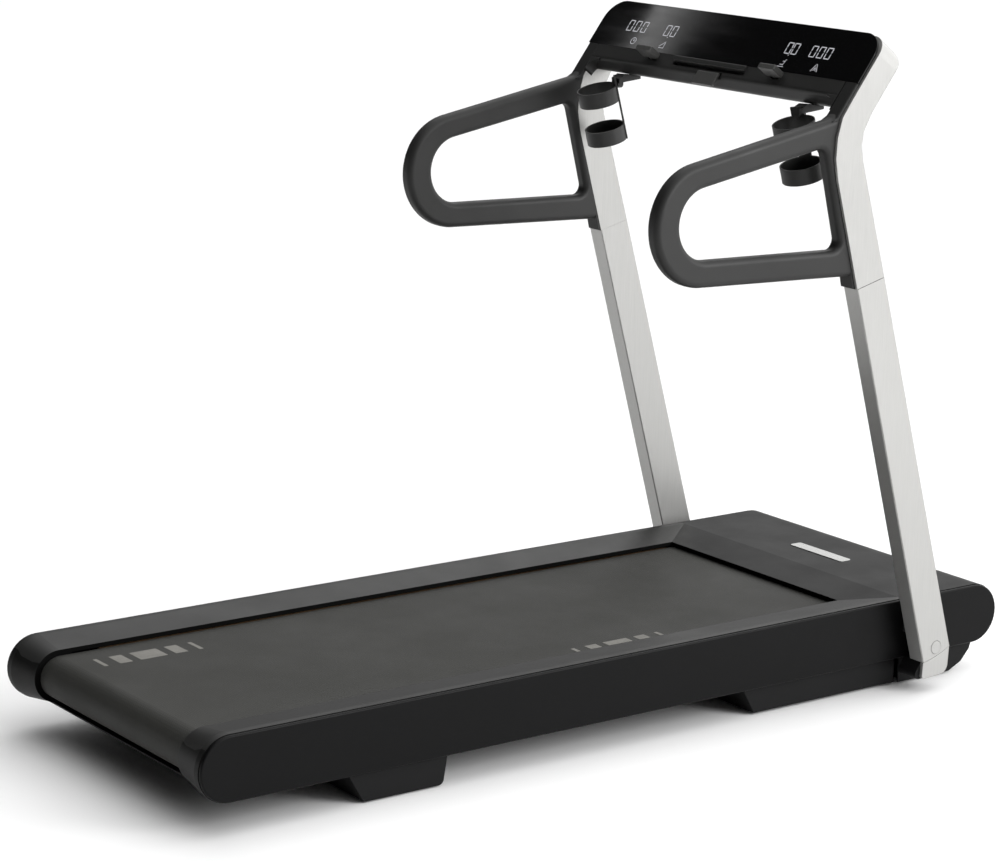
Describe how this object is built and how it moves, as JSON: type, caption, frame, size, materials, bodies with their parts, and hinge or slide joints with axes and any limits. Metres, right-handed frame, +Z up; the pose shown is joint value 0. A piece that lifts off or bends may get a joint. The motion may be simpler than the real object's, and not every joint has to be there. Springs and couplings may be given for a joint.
{
  "type": "treadmill",
  "caption": "Flat motorised home treadmill: low running deck with a powered belt, two slim raked uprights, closed D-shaped side handles and a narrow glass display head.",
  "frame": {"origin": "on the floor, at the middle of the footprint", "axes": "+Y the way the user faces while running, +X to the user's right, +Z up"},
  "size_m": [0.7858, 1.79, 1.2516],
  "materials": {
    "side_plastic": "fine-grained moulded plastic",
    "cover_plastic": "fine-grained moulded plastic",
    "under_plastic": "fine-grained moulded plastic",
    "belt_fabric": "embossed running belt",
    "silver": "satin lacquered",
    "soft_grip": "soft-touch",
    "console_plastic": "soft-touch",
    "black_glass": "gloss black",
    "badge_metal": "brushed",
    "frame_paint": "powder coat",
    "bright_steel": "machined",
    "board_wood": "laminated",
    "black_rubber": "matt",
    "wheel_plastic": "moulded",
    "motor_cast": "cast",
    "circuit": "solder mask",
    "key_plastic": "moulded"
  },
  "bodies": {
    "deck": {"badge_plate": "badge_metal", "belly_pan": "under_plastic", "belt_tension_bolts": "bright_steel", "bottle_holder_left": "console_plastic", "bottle_holder_right": "console_plastic", "console_back": "console_plastic", "console_body": "console_plastic", "crossmembers": "frame_paint", "deck_cushions": "black_rubber", "display_bezel": "console_plastic", "display_board": "circuit", "display_glass": "black_glass", "drive_belt": "black_rubber", "drive_motor": "motor_cast", "foot_blocks": "under_plastic", "foot_caps": "silver", "foot_fixings": "bright_steel", "footrest_left": "cover_plastic", "footrest_right": "cover_plastic", "frame_rails": "frame_paint", "front_skirt": "under_plastic", "front_subframe": "frame_paint", "handle_left": "soft_grip", "handle_right": "soft_grip", "lift_actuator": "motor_cast", "lower_upright_left": "silver", "lower_upright_right": "silver", "mains_inlet": "wheel_plastic", "motor_controller": "motor_cast", "motor_hood": "cover_plastic", "outrigger_brackets": "frame_paint", "rear_feet": "under_plastic", "rear_roller_shaft": "bright_steel", "roller_bearings": "bright_steel", "rubber_feet": "black_rubber", "running_belt": "belt_fabric", "running_deck": "board_wood", "side_panel_left": "side_plastic", "side_panel_right": "side_plastic", "tablet_ledge": "console_plastic", "upper_upright_left": "silver", "upper_upright_right": "silver", "upright_feet": "silver", "upright_mounts": "frame_paint"},
    "lift": {"lift_frame": "frame_paint", "lift_cover": "under_plastic"},
    "lift_wheel_left": {"lift_wheel_left": "wheel_plastic"},
    "lift_wheel_right": {"lift_wheel_right": "wheel_plastic"},
    "lift_rod": {"lift_rod": "bright_steel"},
    "front_roller": {"front_roller": "bright_steel", "front_roller_pulley": "bright_steel"},
    "rear_roller": {"rear_roller": "bright_steel"},
    "motor_rotor": {"motor_shaft": "bright_steel", "motor_pulley": "bright_steel", "motor_flywheel": "bright_steel"},
    "speed_paddle": {"speed_paddle": "key_plastic"},
    "incline_paddle": {"incline_paddle": "key_plastic"},
    "safety_key": {"safety_key": "key_plastic"},
    "power_switch": {"power_switch": "wheel_plastic"}
  },
  "joints": [
    {"name": "incline_lift", "type": "hinge", "parent": "deck", "child": "lift", "pos_m": [0, 0.684, 0.088], "axis": [1, 0, 0], "range_deg": [0, 15]},
    {"name": "lift_wheel_spin_right", "type": "hinge", "parent": "lift", "child": "lift_wheel_right", "pos_m": [0.267, 0.33, 0.028], "axis": [1, 0, 0], "continuous": true},
    {"name": "lift_wheel_spin_left", "type": "hinge", "parent": "lift", "child": "lift_wheel_left", "pos_m": [-0.267, 0.33, 0.028], "axis": [1, 0, 0], "continuous": true},
    {"name": "lift_rod_slide", "type": "slide", "parent": "deck", "child": "lift_rod", "axis": [0, 1, 0], "range_m": [-0.0157, 0]},
    {"name": "front_roller_spin", "type": "hinge", "parent": "deck", "child": "front_roller", "pos_m": [0, 0.615, 0.1165], "axis": [1, 0, 0], "continuous": true},
    {"name": "rear_roller_spin", "type": "hinge", "parent": "deck", "child": "rear_roller", "pos_m": [0, -0.8365, 0.1165], "axis": [1, 0, 0], "continuous": true},
    {"name": "motor_spin", "type": "hinge", "parent": "deck", "child": "motor_rotor", "pos_m": [-0.16, 0.8, 0.12], "axis": [1, 0, 0], "continuous": true},
    {"name": "speed_paddle_tilt", "type": "hinge", "parent": "deck", "child": "speed_paddle", "pos_m": [0.178, 0.4184, 1.1572], "axis": [1, 0, 0], "range_deg": [-8, 8], "stiffness_Nm_per_rad": 0.6},
    {"name": "incline_paddle_tilt", "type": "hinge", "parent": "deck", "child": "incline_paddle", "pos_m": [-0.178, 0.4184, 1.1572], "axis": [1, 0, 0], "range_deg": [-8, 8], "stiffness_Nm_per_rad": 0.6},
    {"name": "safety_key_pull", "type": "slide", "parent": "deck", "child": "safety_key", "axis": [0, -0.8, 0.6], "range_m": [0, 0.014]},
    {"name": "power_switch_rock", "type": "hinge", "parent": "deck", "child": "power_switch", "pos_m": [-0.213, 0.884, 0.106], "axis": [1, 0, 0], "range_deg": [-6, 6]}
  ],
  "couplings": [
    {"joint": "lift_rod_slide", "follows": "incline_lift", "m_per_rad": -0.0593},
    {"joint": "rear_roller_spin", "follows": "front_roller_spin", "ratio": 1},
    {"joint": "motor_spin", "follows": "front_roller_spin", "ratio": 3}
  ]
}
